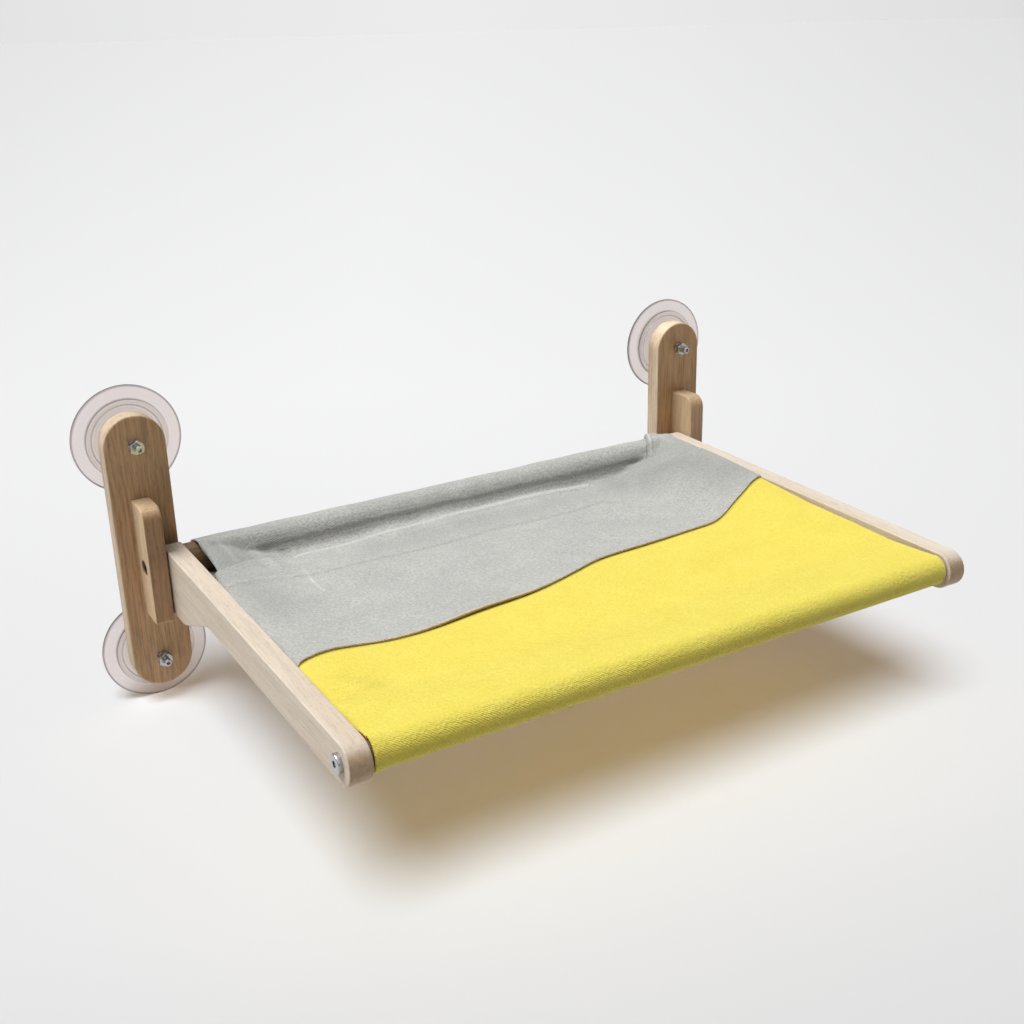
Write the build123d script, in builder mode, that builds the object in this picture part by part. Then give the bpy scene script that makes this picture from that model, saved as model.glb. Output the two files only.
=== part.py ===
from build123d import *
import math
import os

os.makedirs("parts", exist_ok=True)

# A cat perch that hangs on a window pane. Two wooden plates are held on the glass by four suction
# cups, and a frame of two arms and two dowels folds up on hinge bolts in the plates' blocks.
# A cloth sling in two colours is threaded on the dowels.
#
# Frame: X runs along the perch, +Y goes into the glass, +Z is up. The origin lies on the glass,
# in the middle of the four cups. The left side (-X) is modelled and mirrored where it repeats.
# All sizes are in millimetres.

# Wall plates
PLATE_SPACING = 500.0
PLATE_WIDTH = 46.0
PLATE_HEIGHT = 218.0
PLATE_THICKNESS = 15.0
PLATE_FRONT_ROUND = 1.8
PLATE_BACK_ROUND = 0.8

# Suction cups, as radii and as heights above the glass
CUP_RADIUS = 41.0
CUP_HEIGHT = 8.0
CUP_LIP_INNER = 35.0
CUP_DISH_DEPTH = 2.2
CUP_EDGE_HEIGHT = 1.9
CUP_EDGE_ROUND = 0.6
CUP_FLANGE_RISE = 0.9
CUP_BOSS_RADIUS = 30.5
CUP_BOSS_HEIGHT = 5.2
CUP_BOSS_ROUND = 0.9
CUP_RING_RADIUS = 26.5
CUP_RING_STEP = 0.8
CUP_SHOULDER_RADIUS = 17.0
CUP_SHOULDER_HEIGHT = 6.2
CUP_NECK_RADIUS = 13.0

# Studs, washers and nuts of the cups
STUD_RADIUS = 3.0
STUD_HEAD_RADIUS = 9.0
STUD_HEAD_THICKNESS = 2.0
STUD_HEAD_FLOOR = 3.4
STUD_PROTRUSION = 6.0
STUD_TIP_CHAMFER = 0.6
STUD_SOCKET_FLATS = 3.0
STUD_SOCKET_DEPTH = 2.5
WASHER_RADIUS = 5.5
WASHER_THICKNESS = 1.6
NUT_FLATS = 10.0
NUT_THICKNESS = 5.0
NUT_CORNER_CUT = 0.7

# Clearances
MOULDED_GAP = 0.05
BORE_CLEARANCE = 0.2
RUNNING_CLEARANCE = 0.05
AXIAL_PLAY = 0.1
STOP_GAP = 0.2
POCKET_GAP = 0.3
OVERRUN = 5.0

# Hinge blocks
BLOCK_WIDTH = 14.0
BLOCK_DEPTH = 28.0
BLOCK_HEIGHT = 91.0
BLOCK_INNER_OFFSET = 5.5
BLOCK_NOSE_RADIUS = 11.0
BLOCK_FOOT_RADIUS = 2.5
BLOCK_EDGE_ROUND = 1.0
HINGE_DROP = 4.0

# Wood screws from behind the plates into the blocks
SCREW_RADIUS = 1.75
SCREW_HEAD_RADIUS = 3.6
SCREW_LENGTH = 34.0
SCREW_PITCH = 62.0
SCREW_HEAD_ANGLE = 90
SCREW_SLOT_WIDTH = 0.9
SCREW_SLOT_DEPTH = 1.0

# Hinge bolts and the washers on them
HINGE_HEAD_RADIUS = 6.0
HINGE_HEAD_THICKNESS = 3.0
HINGE_RECESS_RADIUS = 6.5
HINGE_RECESS_DEPTH = 4.0
HINGE_SHOULDER_RADIUS = 4.0
HINGE_WASHER_RADIUS = 8.0
HINGE_WASHER_THICKNESS = 1.0

# Thread, heads and sleeves that hold the frame's joints
THREAD_RADIUS = 3.0
HEX_FLATS = 4.0
HEX_DEPTH = 2.0
HEAD_ROUND = 0.8
FRONT_HEAD_RADIUS = 6.1
FRONT_HEAD_THICKNESS = 3.2
INSERT_RADIUS = 4.5
INSERT_LENGTH = 15.0
THREAD_REACH = 19.0
PILOT_LENGTH = 22.0

# Side arms
ARM_THICKNESS = 15.0
ARM_DEPTH = 27.0
ARM_FALL_DEG = 1.3
ARM_REACH = 317.0
ARM_EDGE_ROUND = 1.0
HEEL_DROP = 37.5
HEEL_FLAT = 34.0
HEEL_SLOPE_RUN = 58.0
HEEL_BLEND = 34.0
HEEL_REAR_ROUND = 4.0

# Dowels
REAR_DOWEL_RADIUS = 12.0
FRONT_DOWEL_RADIUS = 9.0
FRONT_DOWEL_RISE = 1.2
DOWEL_CHAMFER = 0.6

# Sling
CLOTH_THICKNESS = 1.8
CLOTH_REAR_SIDE_GAP = 9.3
CLOTH_FRONT_SIDE_GAP = 1.8
FRONT_POCKET_REACH = 46.0
FRONT_POCKET_RISE = 6.0
SEAM_LAP = 11.0
# The grey cloth leaves the rear dowel's top level, for a top run, and falls to a crease. The crease
# lies a reach in front of the dowel's axis and a rise above it. The cloth comes down on it from a fall
# run behind it and a fall rise above it, and sags in front of it.
LEFT_CREASE_REACH = 65.0
LEFT_CREASE_RISE = 2.0
LEFT_TOP_RUN = 23.0
LEFT_FALL_RUN = 24.0
LEFT_FALL_RISE = 15.0
LEFT_SAG = 1.0
MIDDLE_CREASE_REACH = 21.5
MIDDLE_CREASE_RISE = -10.0
MIDDLE_TOP_RUN = 11.0
MIDDLE_FALL_RUN = 2.5
MIDDLE_FALL_RISE = 10.0
MIDDLE_SAG = 2.6
RIGHT_CREASE_REACH = 63.0
RIGHT_CREASE_RISE = 14.0
RIGHT_TOP_RUN = 11.0
RIGHT_FALL_RUN = 25.0
RIGHT_FALL_RISE = 5.0
RIGHT_SAG = 1.0
POCKET_LOWER_DEG = 70.0
LEFT_CORNER_WIDTH = 76.0
RIGHT_CORNER_WIDTH = 62.0
# The wavy seam from left to right: a share of the half width, and a share of the arms' reach
SEAM_SHARES = [
    (-1.00, 0.678),
    (-0.93, 0.653),
    (-0.79, 0.643),
    (-0.63, 0.648),
    (-0.41, 0.628),
    (-0.10, 0.593),
    (0.15, 0.532),
    (0.39, 0.513),
    (0.57, 0.495),
    (0.72, 0.483),
    (0.82, 0.457),
    (0.89, 0.440),
    (1.00, 0.407),
]

# Places that follow from the sizes
plate_x = -PLATE_SPACING / 2
plate_front = CUP_HEIGHT + PLATE_THICKNESS
cup_z = (PLATE_HEIGHT - PLATE_WIDTH) / 2
block_inner_x = plate_x + BLOCK_INNER_OFFSET
block_outer_x = block_inner_x - BLOCK_WIDTH
hinge_y = -plate_front - BLOCK_DEPTH / 2
hinge_z = -HINGE_DROP
hinge_gap = HINGE_WASHER_THICKNESS + 2 * AXIAL_PLAY
arm_outer_x = block_inner_x + hinge_gap
arm_inner_x = arm_outer_x + ARM_THICKNESS
arm_top = BLOCK_DEPTH / 2 - STOP_GAP

# The bar of an arm points forward and falls a little; its normal points up
fall = math.radians(ARM_FALL_DEG)
bar_y, bar_z = -math.cos(fall), -math.sin(fall)
normal_y, normal_z = -math.sin(fall), math.cos(fall)
bar_middle = arm_top - ARM_DEPTH / 2
front_lift = bar_middle + FRONT_DOWEL_RISE
front_y = hinge_y + ARM_REACH * bar_y + front_lift * normal_y
front_z = hinge_z + ARM_REACH * bar_z + front_lift * normal_z


def save(piece, name):
    """Label a finished piece and write it as one STEP file."""
    piece.part.label = name
    export_step(piece.part, f"parts/{name}.step")


# Wall plate: a stadium with eased edges, drilled for two studs and countersunk from behind
with BuildPart() as left_wall_plate:
    with BuildSketch(Plane.XZ.offset(CUP_HEIGHT)):
        with Locations((plate_x, 0)):
            SlotOverall(PLATE_HEIGHT, PLATE_WIDTH, rotation=90)
    extrude(amount=PLATE_THICKNESS)
    fillet(left_wall_plate.faces().sort_by(Axis.Y)[0].edges(), PLATE_FRONT_ROUND)
    fillet(left_wall_plate.faces().sort_by(Axis.Y)[-1].edges(), PLATE_BACK_ROUND)
    with BuildSketch(Plane.XZ.offset(CUP_HEIGHT)):
        with Locations((plate_x, cup_z), (plate_x, -cup_z)):
            Circle(STUD_RADIUS + BORE_CLEARANCE)
    extrude(amount=PLATE_THICKNESS, mode=Mode.SUBTRACT)
    screw_x = (block_inner_x + block_outer_x) / 2
    screw_places = [
        Plane((screw_x, -CUP_HEIGHT, hinge_z + side * SCREW_PITCH / 2), x_dir=(1, 0, 0), z_dir=(0, 1, 0))
        for side in (-1, 1)
    ]
    with Locations(*screw_places):
        CounterSinkHole(
            SCREW_RADIUS + MOULDED_GAP,
            SCREW_HEAD_RADIUS + MOULDED_GAP,
            PLATE_THICKNESS,
            SCREW_HEAD_ANGLE,
        )
save(left_wall_plate, "left_wall_plate")

with BuildPart() as right_wall_plate:
    mirror(left_wall_plate.part, about=Plane.YZ)
save(right_wall_plate, "right_wall_plate")

# Hinge block: tall and narrow, with a big round on its upper front corner, and the hinge's bearing
with BuildPart() as left_hinge_block:
    with BuildSketch(Plane.YZ.offset(block_outer_x)) as block_side:
        with Locations((hinge_y, 0)):
            Rectangle(BLOCK_DEPTH, BLOCK_HEIGHT)
        front_corners = block_side.vertices().group_by(Axis.X)[0].sort_by(Axis.Y)
        fillet(front_corners[-1], BLOCK_NOSE_RADIUS)
        fillet(block_side.vertices().group_by(Axis.X)[0].sort_by(Axis.Y)[0], BLOCK_FOOT_RADIUS)
    extrude(amount=BLOCK_WIDTH)
    sides = left_hinge_block.faces().sort_by(Axis.X)
    fillet((sides[0].edges() + sides[-1].edges()).filter_by(GeomType.CIRCLE), BLOCK_EDGE_ROUND)
    hinge_face = Plane((block_outer_x, hinge_y, hinge_z), x_dir=(0, 1, 0), z_dir=(-1, 0, 0))
    with Locations(hinge_face):
        CounterBoreHole(
            HINGE_SHOULDER_RADIUS + RUNNING_CLEARANCE,
            HINGE_RECESS_RADIUS,
            HINGE_RECESS_DEPTH,
            BLOCK_WIDTH,
        )
    pilot_places = [
        Plane((screw_x, -plate_front, hinge_z + side * SCREW_PITCH / 2), x_dir=(1, 0, 0), z_dir=(0, 1, 0))
        for side in (-1, 1)
    ]
    with Locations(*pilot_places):
        Hole(SCREW_RADIUS + MOULDED_GAP, SCREW_LENGTH - PLATE_THICKNESS)
save(left_hinge_block, "left_hinge_block")

with BuildPart() as right_hinge_block:
    mirror(left_hinge_block.part, about=Plane.YZ)
save(right_hinge_block, "right_hinge_block")

# Wood screws: countersunk heads flush with the plates' backs, two for each block
with BuildPart() as block_screws:
    screw_cone = SCREW_HEAD_RADIUS - SCREW_RADIUS
    for side_x in (screw_x, -screw_x):
        for side_z in (-1, 1):
            screw_plane = Plane(
                (side_x, -CUP_HEIGHT, hinge_z + side_z * SCREW_PITCH / 2),
                x_dir=(1, 0, 0),
                z_dir=(0, -1, 0),
            )
            with BuildSketch(screw_plane):
                Circle(SCREW_HEAD_RADIUS)
            extrude(amount=screw_cone, taper=SCREW_HEAD_ANGLE / 2)
            with BuildSketch(screw_plane.offset(screw_cone)):
                Circle(SCREW_RADIUS)
            extrude(amount=SCREW_LENGTH - screw_cone)
            with BuildSketch(screw_plane):
                Rectangle(2 * SCREW_HEAD_RADIUS, SCREW_SLOT_WIDTH)
            extrude(amount=SCREW_SLOT_DEPTH, mode=Mode.SUBTRACT)
save(block_screws, "block_screws")

# Suction cups: a thin sealing flange with a dished face, a raised boss with a step inside its rim,
# and a neck that meets the back of the plate. The stud's head is moulded in.
cup_places = {
    "suction_cup_top_left": (plate_x, cup_z),
    "suction_cup_bottom_left": (plate_x, -cup_z),
    "suction_cup_top_right": (-plate_x, cup_z),
    "suction_cup_bottom_right": (-plate_x, -cup_z),
}
for cup_name, (cup_x, cup_height_z) in cup_places.items():
    cup_plane = Plane((cup_x, 0, cup_height_z), x_dir=(1, 0, 0), z_dir=(0, 0, -1))
    cup_axis = Axis((cup_x, 0, cup_height_z), (0, 1, 0))
    room_side = Plane((cup_x, 0, cup_height_z), x_dir=(1, 0, 0), z_dir=(0, -1, 0))
    with BuildPart() as suction_cup:
        with BuildSketch(cup_plane):
            with BuildLine():
                flange_root = CUP_EDGE_HEIGHT + CUP_FLANGE_RISE
                ring_floor = CUP_BOSS_HEIGHT - CUP_RING_STEP
                outline = Polyline(
                    (CUP_LIP_INNER, 0),
                    (CUP_RADIUS, 0),
                    (CUP_RADIUS, CUP_EDGE_HEIGHT - CUP_EDGE_ROUND),
                    (CUP_RADIUS - CUP_EDGE_ROUND, CUP_EDGE_HEIGHT),
                    (CUP_BOSS_RADIUS, flange_root),
                    (CUP_BOSS_RADIUS, CUP_BOSS_HEIGHT - CUP_BOSS_ROUND),
                    (CUP_BOSS_RADIUS - CUP_BOSS_ROUND, CUP_BOSS_HEIGHT),
                    (CUP_RING_RADIUS, CUP_BOSS_HEIGHT),
                    (CUP_RING_RADIUS, ring_floor),
                    (CUP_SHOULDER_RADIUS, ring_floor),
                    (CUP_SHOULDER_RADIUS, CUP_SHOULDER_HEIGHT),
                    (CUP_NECK_RADIUS, CUP_HEIGHT),
                    (0, CUP_HEIGHT),
                    (0, CUP_DISH_DEPTH),
                )
                RadiusArc(
                    outline @ 1,
                    outline @ 0,
                    (CUP_LIP_INNER**2 + CUP_DISH_DEPTH**2) / (2 * CUP_DISH_DEPTH),
                )
            make_face()
        revolve(axis=cup_axis)
        with BuildSketch(room_side.offset(STUD_HEAD_FLOOR - MOULDED_GAP)):
            Circle(STUD_HEAD_RADIUS + MOULDED_GAP)
        extrude(amount=STUD_HEAD_THICKNESS + 2 * MOULDED_GAP, mode=Mode.SUBTRACT)
        with BuildSketch(room_side.offset(STUD_HEAD_FLOOR)):
            Circle(STUD_RADIUS + MOULDED_GAP)
        extrude(amount=CUP_HEIGHT, mode=Mode.SUBTRACT)
    save(suction_cup, cup_name)

# Studs: a flat head inside the cup, and a hex socket in the end that shows beyond the nut
stud_end = plate_front + WASHER_THICKNESS + NUT_THICKNESS + STUD_PROTRUSION
stud_locations = [(x, z) for x, z in cup_places.values()]
with BuildPart() as cup_studs:
    with BuildSketch(Plane.XZ.offset(STUD_HEAD_FLOOR)):
        with Locations(*stud_locations):
            Circle(STUD_HEAD_RADIUS)
    extrude(amount=STUD_HEAD_THICKNESS)
    with BuildSketch(Plane.XZ.offset(STUD_HEAD_FLOOR + STUD_HEAD_THICKNESS)):
        with Locations(*stud_locations):
            Circle(STUD_RADIUS)
    extrude(amount=stud_end - STUD_HEAD_FLOOR - STUD_HEAD_THICKNESS)
    chamfer(cup_studs.faces().group_by(Axis.Y)[0].edges(), STUD_TIP_CHAMFER)
    with BuildSketch(Plane.XZ.offset(stud_end - STUD_SOCKET_DEPTH)):
        with Locations(*stud_locations):
            RegularPolygon(STUD_SOCKET_FLATS / 2, 6, major_radius=False)
    extrude(amount=STUD_SOCKET_DEPTH, mode=Mode.SUBTRACT)
save(cup_studs, "cup_studs")

with BuildPart() as cup_washers:
    with BuildSketch(Plane.XZ.offset(plate_front)):
        with Locations(*stud_locations):
            Circle(WASHER_RADIUS)
            Circle(STUD_RADIUS + BORE_CLEARANCE, mode=Mode.SUBTRACT)
    extrude(amount=WASHER_THICKNESS)
save(cup_washers, "cup_washers")

# Nuts: hexagons with a flat towards the arm, their corners turned off on both faces
nut_seat = plate_front + WASHER_THICKNESS
nut_corner = NUT_FLATS / math.sqrt(3)
with BuildPart() as cup_nuts:
    with BuildSketch(Plane.XZ.offset(nut_seat)):
        with Locations(*stud_locations):
            RegularPolygon(NUT_FLATS / 2, 6, major_radius=False, rotation=30)
            Circle(STUD_RADIUS + MOULDED_GAP, mode=Mode.SUBTRACT)
    extrude(amount=NUT_THICKNESS)
    for nut_x, nut_z in stud_locations:
        turned_plane = Plane((nut_x, -nut_seat, nut_z), x_dir=(1, 0, 0), z_dir=(0, 0, -1))
        turned_axis = Axis((nut_x, -nut_seat, nut_z), (0, 1, 0))
        for near, far in ((0, NUT_CORNER_CUT), (NUT_THICKNESS, NUT_THICKNESS - NUT_CORNER_CUT)):
            with BuildSketch(turned_plane):
                with BuildLine():
                    Polyline(
                        (NUT_FLATS / 2, near),
                        (nut_corner + OVERRUN, near),
                        (nut_corner + OVERRUN, far),
                        (nut_corner, far),
                        close=True,
                    )
                make_face()
            revolve(axis=turned_axis, mode=Mode.SUBTRACT)
save(cup_nuts, "cup_nuts")


# Side arm: a straight bar, a heel that rests on the plate, a quarter round about the hinge line
# that lets the arm fold up beside the block, and a half round front end
heel_y = hinge_y + arm_top
heel_z = hinge_z - HEEL_DROP
bar_under = arm_top - ARM_DEPTH
slope_end = HEEL_FLAT + HEEL_SLOPE_RUN


def along_bar(distance, height):
    """A point of the bar, in Y and Z, at a distance from the hinge line and a height above it."""
    y = hinge_y + distance * bar_y + height * normal_y
    z = hinge_z + distance * bar_z + height * normal_z
    return (y, z)


with BuildPart() as left_side_arm:
    with BuildSketch(Plane.YZ.offset(arm_outer_x)) as arm_side:
        with BuildLine():
            top_start = along_bar(0, arm_top)
            corner = math.radians(45)
            corner_middle = (hinge_y + arm_top * math.sin(corner), hinge_z + arm_top * math.cos(corner))
            corner_end = (heel_y, hinge_z)
            ThreePointArc(top_start, corner_middle, corner_end)
            heel_end = (hinge_y - HEEL_FLAT, heel_z)
            Polyline(
                corner_end,
                (heel_y, heel_z),
                heel_end,
                along_bar(slope_end, bar_under),
                along_bar(ARM_REACH, bar_under),
            )
            ThreePointArc(
                along_bar(ARM_REACH, bar_under),
                along_bar(ARM_REACH + ARM_DEPTH / 2, bar_middle),
                along_bar(ARM_REACH, arm_top),
            )
            Line(along_bar(ARM_REACH, arm_top), top_start)
        make_face()
        heel_front = arm_side.vertices().sort_by_distance(heel_end)[0]
        fillet(heel_front, HEEL_BLEND)
        slope_top = arm_side.vertices().sort_by_distance(along_bar(slope_end, bar_under))[0]
        fillet(slope_top, HEEL_BLEND)
        heel_rear = arm_side.vertices().sort_by_distance((heel_y, heel_z))[0]
        fillet(heel_rear, HEEL_REAR_ROUND)
    extrude(amount=ARM_THICKNESS)
    arm_faces = left_side_arm.faces().sort_by(Axis.X)
    fillet(arm_faces[0].edges() + arm_faces[-1].edges(), ARM_EDGE_ROUND)
    with BuildSketch(Plane.YZ.offset(arm_outer_x)):
        with Locations((hinge_y, hinge_z), (front_y, front_z)):
            Circle(THREAD_RADIUS + BORE_CLEARANCE)
    extrude(amount=ARM_THICKNESS, mode=Mode.SUBTRACT)
save(left_side_arm, "left_side_arm")

with BuildPart() as right_side_arm:
    mirror(left_side_arm.part, about=Plane.YZ)
save(right_side_arm, "right_side_arm")

# Dowels: plain rods between the arms, bored at both ends for a threaded sleeve and a bolt
dowel_length = -2 * arm_inner_x
dowel_ends = ((arm_inner_x, 1), (-arm_inner_x, -1))
dowel_bores = ((INSERT_RADIUS + MOULDED_GAP, INSERT_LENGTH), (THREAD_RADIUS + BORE_CLEARANCE, PILOT_LENGTH))
dowels = {
    "rear": (REAR_DOWEL_RADIUS, (hinge_y, hinge_z)),
    "front": (FRONT_DOWEL_RADIUS, (front_y, front_z)),
}
for dowel_name, (dowel_radius, dowel_centre) in dowels.items():
    with BuildPart() as dowel:
        with BuildSketch(Plane.YZ.offset(arm_inner_x)):
            with Locations(dowel_centre):
                Circle(dowel_radius)
        extrude(amount=dowel_length)
        chamfer(dowel.edges().filter_by(GeomType.CIRCLE), DOWEL_CHAMFER)
        for end_x, inward in dowel_ends:
            for bore_radius, bore_depth in dowel_bores:
                with BuildSketch(Plane.YZ.offset(end_x)):
                    with Locations(dowel_centre):
                        Circle(bore_radius)
                extrude(amount=inward * bore_depth, mode=Mode.SUBTRACT)
    save(dowel, f"{dowel_name}_dowel")

    with BuildPart() as inserts:
        for end_x, inward in dowel_ends:
            with BuildSketch(Plane.YZ.offset(end_x)):
                with Locations(dowel_centre):
                    Circle(INSERT_RADIUS)
                    Circle(THREAD_RADIUS + MOULDED_GAP, mode=Mode.SUBTRACT)
            extrude(amount=inward * INSERT_LENGTH)
    save(inserts, f"{dowel_name}_inserts")

# Hinge bolt: its head lies in the block's recess, its shoulder turns in the block and stops on the
# arm, and its thread goes through the arm into the rear dowel
hinge_seat = block_outer_x + HINGE_RECESS_DEPTH - AXIAL_PLAY
hinge_head_x = hinge_seat - HINGE_HEAD_THICKNESS
thread_end = arm_inner_x + THREAD_REACH
with BuildPart() as left_hinge_bolt:
    with BuildSketch(Plane.YZ.offset(hinge_head_x)):
        with Locations((hinge_y, hinge_z)):
            Circle(HINGE_HEAD_RADIUS)
    extrude(amount=HINGE_HEAD_THICKNESS)
    fillet(left_hinge_bolt.faces().sort_by(Axis.X)[0].edges(), HEAD_ROUND)
    with BuildSketch(Plane.YZ.offset(hinge_seat)):
        with Locations((hinge_y, hinge_z)):
            Circle(HINGE_SHOULDER_RADIUS)
    extrude(amount=arm_outer_x - hinge_seat)
    with BuildSketch(Plane.YZ.offset(arm_outer_x)):
        with Locations((hinge_y, hinge_z)):
            Circle(THREAD_RADIUS)
    extrude(amount=thread_end - arm_outer_x)
    with BuildSketch(Plane.YZ.offset(hinge_head_x)):
        with Locations((hinge_y, hinge_z)):
            RegularPolygon(HEX_FLATS / 2, 6, major_radius=False)
    extrude(amount=HEX_DEPTH, mode=Mode.SUBTRACT)
save(left_hinge_bolt, "left_hinge_bolt")

with BuildPart() as right_hinge_bolt:
    mirror(left_hinge_bolt.part, about=Plane.YZ)
save(right_hinge_bolt, "right_hinge_bolt")

with BuildPart() as hinge_washers:
    for washer_x in (block_inner_x + AXIAL_PLAY, -block_inner_x - AXIAL_PLAY - HINGE_WASHER_THICKNESS):
        with BuildSketch(Plane.YZ.offset(washer_x)):
            with Locations((hinge_y, hinge_z)):
                Circle(HINGE_WASHER_RADIUS)
                Circle(HINGE_SHOULDER_RADIUS + RUNNING_CLEARANCE, mode=Mode.SUBTRACT)
        extrude(amount=HINGE_WASHER_THICKNESS)
save(hinge_washers, "hinge_washers")

# Front bolt: a wide flat head on the arm's outer face, threaded into the front dowel
front_head_x = arm_outer_x - FRONT_HEAD_THICKNESS
with BuildPart() as left_front_bolt:
    with BuildSketch(Plane.YZ.offset(front_head_x)):
        with Locations((front_y, front_z)):
            Circle(FRONT_HEAD_RADIUS)
    extrude(amount=FRONT_HEAD_THICKNESS)
    fillet(left_front_bolt.faces().sort_by(Axis.X)[0].edges(), HEAD_ROUND)
    with BuildSketch(Plane.YZ.offset(arm_outer_x)):
        with Locations((front_y, front_z)):
            Circle(THREAD_RADIUS)
    extrude(amount=thread_end - arm_outer_x)
    with BuildSketch(Plane.YZ.offset(front_head_x)):
        with Locations((front_y, front_z)):
            RegularPolygon(HEX_FLATS / 2, 6, major_radius=False)
    extrude(amount=HEX_DEPTH, mode=Mode.SUBTRACT)
save(left_front_bolt, "left_front_bolt")

with BuildPart() as right_front_bolt:
    mirror(left_front_bolt.part, about=Plane.YZ)
save(right_front_bolt, "right_front_bolt")

# Sling. Each panel has a rod pocket: the cloth goes round the dowel and is sewn to itself in front of
# it. The arms pull the sling's corners up, and its middle hangs lower. The grey panel laps over the
# yellow one.
rear_centre = Vector(hinge_y, hinge_z)
front_centre = Vector(front_y, front_z)
front_tip = Vector(front_y + FRONT_POCKET_REACH, front_z + FRONT_POCKET_RISE)
left_crease = Vector(-LEFT_CREASE_REACH, LEFT_CREASE_RISE)
middle_crease = Vector(-MIDDLE_CREASE_REACH, MIDDLE_CREASE_RISE)
right_crease = Vector(-RIGHT_CREASE_REACH, RIGHT_CREASE_RISE)
left_corner = (left_crease, LEFT_TOP_RUN, Vector(LEFT_FALL_RUN, LEFT_FALL_RISE), LEFT_SAG)
sling_middle = (middle_crease, MIDDLE_TOP_RUN, Vector(MIDDLE_FALL_RUN, MIDDLE_FALL_RISE), MIDDLE_SAG)
right_corner = (right_crease, RIGHT_TOP_RUN, Vector(RIGHT_FALL_RUN, RIGHT_FALL_RISE), RIGHT_SAG)
sling_stations = [
    (arm_inner_x, left_corner),
    (arm_inner_x + LEFT_CORNER_WIDTH, sling_middle),
    (-arm_inner_x - RIGHT_CORNER_WIDTH, sling_middle),
    (-arm_inner_x, right_corner),
]


def inner_tip(centre, dowel_radius, tip):
    """Where the two layers of a rod pocket meet, a cloth's thickness inside its tip."""
    return tip - (tip - centre) * (CLOTH_THICKNESS / (dowel_radius + POCKET_GAP + CLOTH_THICKNESS))


def rear_pocket(station_x, corner, inset):
    """The rear pocket in section, an inset inside its outer face: round the dowel and down to a tip."""
    crease, top_run, fall, sag = corner
    radius = REAR_DOWEL_RADIUS + POCKET_GAP + CLOTH_THICKNESS - inset
    tip = rear_centre + crease
    if inset:
        tip = inner_tip(rear_centre, REAR_DOWEL_RADIUS, tip)
    top = rear_centre + Vector(0, radius)
    low = rear_centre - Vector(0, radius).rotate(Axis.Z, POCKET_LOWER_DEG - 90)
    with BuildSketch(Plane.YZ.offset(station_x), mode=Mode.PRIVATE) as section:
        with BuildLine():
            Bezier(top, top - Vector(top_run - inset, 0), tip + fall, tip)
            Line(tip, low)
            ThreePointArc(low, rear_centre + Vector(radius, 0), top)
        make_face()
    return section.sketch


def cloth_section(station_x, corner, rise):
    """The sagging cloth in section, from the rear pocket's tip to the front one's, moved by a rise."""
    crease, top_run, fall, sag = corner
    start = inner_tip(rear_centre, REAR_DOWEL_RADIUS, rear_centre + crease) + Vector(0, rise)
    end = inner_tip(front_centre, FRONT_DOWEL_RADIUS, front_tip) + Vector(0, rise)
    middle = (start + end) / 2 - Vector(0, sag)
    half = Vector(0, CLOTH_THICKNESS / 2)
    with BuildSketch(Plane.YZ.offset(station_x), mode=Mode.PRIVATE) as section:
        with BuildLine():
            upper = ThreePointArc(start + half, middle + half, end + half)
            lower = ThreePointArc(start - half, middle - half, end - half)
            Line(upper @ 0, lower @ 0)
            Line(upper @ 1, lower @ 1)
        make_face()
    return section.sketch


def front_pocket(radius, tip):
    """The front pocket in section: a circle round the dowel and the wedge between it and a tip."""
    towards = (tip - front_centre).normalized()
    turn = math.degrees(math.acos(radius / (tip - front_centre).length))
    upper = front_centre + towards.rotate(Axis.Z, turn) * radius
    lower = front_centre + towards.rotate(Axis.Z, -turn) * radius
    with BuildSketch(Plane.YZ.offset(arm_inner_x), mode=Mode.PRIVATE) as section:
        with Locations(front_centre):
            Circle(radius)
        Polygon(upper, tip, lower, front_centre, align=None)
    return section.sketch


def half_width(y):
    """Half the cloth's width at a place between the dowels: it is a little narrower at the rear."""
    share = (hinge_y - y) / (hinge_y - front_y)
    return -arm_inner_x - CLOTH_REAR_SIDE_GAP - share * (CLOTH_FRONT_SIDE_GAP - CLOTH_REAR_SIDE_GAP)


def panel_plan(shift, far_y):
    """The outline of a panel from above: the wavy seam, moved by a shift, and two sides to far_y."""
    points = []
    for x_share, y_share in SEAM_SHARES:
        seam_y = hinge_y - y_share * ARM_REACH + shift
        points.append((x_share * half_width(seam_y), seam_y))
    with BuildSketch(Plane.XY.offset(front_z - ARM_DEPTH), mode=Mode.PRIVATE) as plan:
        with BuildLine():
            seam = Spline(*points)
            Polyline(seam @ 1, (half_width(far_y), far_y), (-half_width(far_y), far_y), seam @ 0)
        make_face()
    return plan.sketch


cut_height = ARM_DEPTH * 2
front_bore_radius = FRONT_DOWEL_RADIUS + POCKET_GAP
front_bore_tip = inner_tip(front_centre, FRONT_DOWEL_RADIUS, front_tip)
with BuildPart() as grey_panel:
    loft([cloth_section(x, corner, 0) for x, corner in sling_stations], ruled=True)
    loft([rear_pocket(x, corner, 0) for x, corner in sling_stations], ruled=True)
    bores = [rear_pocket(x, corner, CLOTH_THICKNESS) for x, corner in sling_stations]
    loft(bores, ruled=True, mode=Mode.SUBTRACT)
    extrude(panel_plan(0, hinge_y + BLOCK_DEPTH), amount=cut_height, mode=Mode.INTERSECT)
save(grey_panel, "grey_panel")

with BuildPart() as yellow_panel:
    loft([cloth_section(x, corner, -CLOTH_THICKNESS) for x, corner in sling_stations], ruled=True)
    extrude(front_pocket(front_bore_radius + CLOTH_THICKNESS, front_tip), amount=dowel_length)
    extrude(front_pocket(front_bore_radius, front_bore_tip), amount=dowel_length, mode=Mode.SUBTRACT)
    extrude(panel_plan(SEAM_LAP, front_y - ARM_DEPTH), amount=cut_height, mode=Mode.INTERSECT)
save(yellow_panel, "yellow_panel")

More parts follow.
